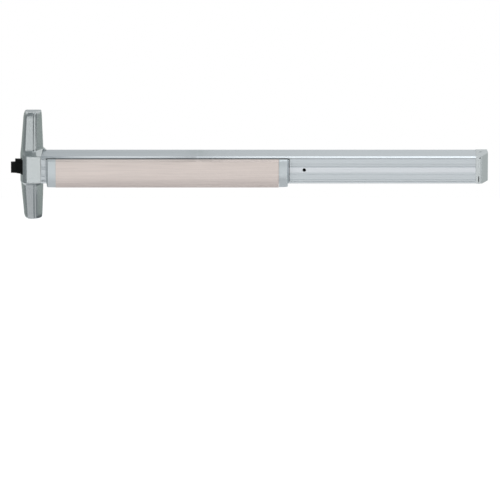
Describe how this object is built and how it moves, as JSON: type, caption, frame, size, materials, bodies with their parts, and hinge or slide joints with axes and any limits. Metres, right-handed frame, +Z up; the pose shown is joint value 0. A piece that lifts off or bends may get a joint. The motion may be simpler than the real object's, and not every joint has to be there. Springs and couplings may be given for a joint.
{
  "type": "rim exit device",
  "caption": "Surface-mounted push-bar exit device with a swinging latch bolt, deadlatch, crank-drawn rod, key dogging and trim cam.",
  "frame": {"origin": "on the door's face at the middle of the latch head", "axes": "+X along the bar away from the latch, +Y into the door, +Z up"},
  "size_m": [0.8672, 0.076, 0.202],
  "materials": {
    "cast_cover": "satin anodised casting",
    "rail": "satin anodised",
    "pad_steel": "brushed stainless",
    "pad_end": "satin grey moulding",
    "carrier": "mill",
    "plated_steel": "zinc plated",
    "black_latch": "black oxide",
    "spring_wire": "oiled wire",
    "bumper": "matt"
  },
  "bodies": {
    "housing": {"head_cover": "cast_cover", "head_base_plate": "plated_steel", "head_bracket": "plated_steel", "latch_pin": "plated_steel", "cover_screws": "plated_steel", "cam_keeper": "plated_steel", "bracket_rivets": "plated_steel", "latch_spring": "spring_wire", "deadlatch_spring": "spring_wire", "rod_spring": "spring_wire", "rod_guide_left": "plated_steel", "rod_guide_right": "plated_steel", "crank_bracket_left": "plated_steel", "crank_bracket_right": "plated_steel", "crank_pin_left": "plated_steel", "crank_pin_right": "plated_steel", "pad_bumpers": "bumper", "mechanism_case": "rail", "case_filler": "rail", "case_cover": "rail", "dog_bracket": "plated_steel", "end_bracket": "plated_steel", "end_cap": "cast_cover", "end_cap_screws": "plated_steel"},
    "push_pad": {"pad_skin": "pad_steel", "pad_carrier": "carrier", "pad_cap_left": "pad_end", "pad_cap_right": "pad_end", "pad_bracket_left": "plated_steel", "pad_bracket_right": "plated_steel", "pad_pin_left": "plated_steel", "pad_pin_right": "plated_steel"},
    "crank_left": {"crank_left": "plated_steel"},
    "crank_right": {"crank_right": "plated_steel"},
    "pull_rod": {"pull_rod": "plated_steel", "rod_pin_left": "plated_steel", "rod_pin_right": "plated_steel", "trim_pin": "plated_steel", "spring_collar": "plated_steel"},
    "latch": {"latch_bolt": "black_latch", "latch_pull_pin": "plated_steel"},
    "deadlatch": {"deadlatch": "black_latch"},
    "trim_cam": {"trim_cam": "plated_steel"},
    "dogging_hook": {"dog_shaft": "plated_steel", "dog_hook": "plated_steel", "dog_clip": "plated_steel"}
  },
  "joints": [
    {"name": "pad_press", "type": "slide", "parent": "housing", "child": "push_pad", "axis": [0, 1, 0], "range_m": [0, 0.018], "stiffness_N_per_m": 600, "springref_m": -0.01},
    {"name": "crank_left_turn", "type": "hinge", "parent": "housing", "child": "crank_left", "pos_m": [0.11, -0.03, 0], "axis": [0, 0, -1], "range_deg": [0, 41.12]},
    {"name": "crank_right_turn", "type": "hinge", "parent": "housing", "child": "crank_right", "pos_m": [0.38, -0.03, 0], "axis": [0, 0, -1], "range_deg": [0, 41.12]},
    {"name": "rod_slide", "type": "slide", "parent": "housing", "child": "pull_rod", "axis": [1, 0, 0], "range_m": [0, 0.0135], "deforming": ["rod_spring"]},
    {"name": "latch_swing", "type": "hinge", "parent": "housing", "child": "latch", "pos_m": [-0.009, -0.037, 0], "axis": [0, 0, -1], "range_deg": [0, 55.01], "deforming": ["latch_spring"]},
    {"name": "cam_turn", "type": "hinge", "parent": "housing", "child": "trim_cam", "pos_m": [0.0054, 0, -0.036], "axis": [0, 1, 0], "range_deg": [0, 26.22]},
    {"name": "deadlatch_swing", "type": "hinge", "parent": "housing", "child": "deadlatch", "pos_m": [-0.009, -0.037, 0], "axis": [0, 0, -1], "range_deg": [0, 40], "stiffness_Nm_per_rad": 0.05, "springref_deg": -17.19, "deforming": ["deadlatch_spring"]},
    {"name": "dogging_turn", "type": "hinge", "parent": "housing", "child": "dogging_hook", "pos_m": [0.4935, 0, 0], "axis": [0, 1, 0], "range_deg": [0, 90]}
  ],
  "couplings": [
    {"joint": "crank_left_turn", "follows": "pad_press", "rad_per_m": 39.863},
    {"joint": "crank_right_turn", "follows": "pad_press", "rad_per_m": 39.863},
    {"joint": "rod_slide", "follows": "pad_press", "ratio": 0.75},
    {"joint": "latch_swing", "follows": "pad_press", "rad_per_m": 53.33},
    {"joint": "cam_turn", "follows": "pad_press", "rad_per_m": 25.41}
  ]
}
